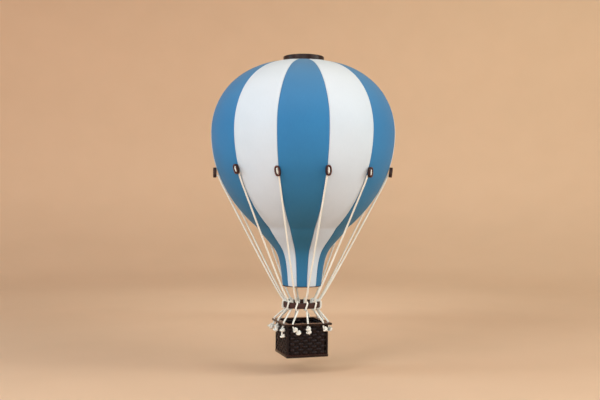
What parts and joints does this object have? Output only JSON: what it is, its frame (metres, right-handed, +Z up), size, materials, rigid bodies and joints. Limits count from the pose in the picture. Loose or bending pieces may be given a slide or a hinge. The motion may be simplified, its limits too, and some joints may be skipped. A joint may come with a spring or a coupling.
{
  "type": "hanging hot air balloon ornament",
  "caption": "Hanging ornament shaped as a hot air balloon: striped cloth envelope on a stiff shell, eyelets and cords to a load ring, and an open woven basket.",
  "frame": {"origin": "bearing point of the hanging eye, where the thread holds the ornament, on the vertical axis of the envelope", "axes": "+Z up along the envelope's axis; +X and +Y square to the basket's sides; the middle of the front blue panel lies 17.5 degrees from -Y towards -X"},
  "size_m": [0.2996, 0.2997, 0.4864],
  "materials": {
    "cloth_blue": "plain woven cotton, matte",
    "cloth_white": "plain woven cotton, matte",
    "shell_foam": "stiff moulded foam",
    "brown_wood": "stained, satin",
    "brown_leather": "dark brown, satin",
    "wicker": "stained and lacquered wicker",
    "cotton_cord": "twisted natural cotton",
    "brass": "bright wire"
  },
  "bodies": {
    "root": {"shell_01": "shell_foam", "shell_02": "shell_foam", "shell_03": "shell_foam", "shell_04": "shell_foam", "shell_05": "shell_foam", "shell_06": "shell_foam", "shell_07": "shell_foam", "shell_08": "shell_foam", "shell_09": "shell_foam", "shell_10": "shell_foam", "shell_11": "shell_foam", "shell_12": "shell_foam", "gore_01": "cloth_blue", "gore_02": "cloth_white", "gore_03": "cloth_blue", "gore_04": "cloth_white", "gore_05": "cloth_blue", "gore_06": "cloth_white", "gore_07": "cloth_blue", "gore_08": "cloth_white", "gore_09": "cloth_blue", "gore_10": "cloth_white", "gore_11": "cloth_blue", "gore_12": "cloth_white", "mouth_binding": "brown_leather", "crown_ring": "brown_wood", "crown_plate": "brown_wood", "hanging_eye": "brass", "eyelet_01": "brown_leather", "eyelet_02": "brown_leather", "eyelet_03": "brown_leather", "eyelet_04": "brown_leather", "eyelet_05": "brown_leather", "eyelet_06": "brown_leather", "eyelet_07": "brown_leather", "eyelet_08": "brown_leather", "eyelet_09": "brown_leather", "eyelet_10": "brown_leather", "eyelet_11": "brown_leather", "eyelet_12": "brown_leather", "cord_01": "cotton_cord", "cord_02": "cotton_cord", "cord_03": "cotton_cord", "cord_04": "cotton_cord", "cord_05": "cotton_cord", "cord_06": "cotton_cord", "cord_07": "cotton_cord", "cord_08": "cotton_cord", "cord_09": "cotton_cord", "cord_10": "cotton_cord", "cord_11": "cotton_cord", "cord_12": "cotton_cord", "load_ring": "brown_leather", "basket_rim": "wicker", "basket_walls": "wicker", "basket_foot": "wicker", "basket_floor": "wicker"}
  },
  "joints": []
}
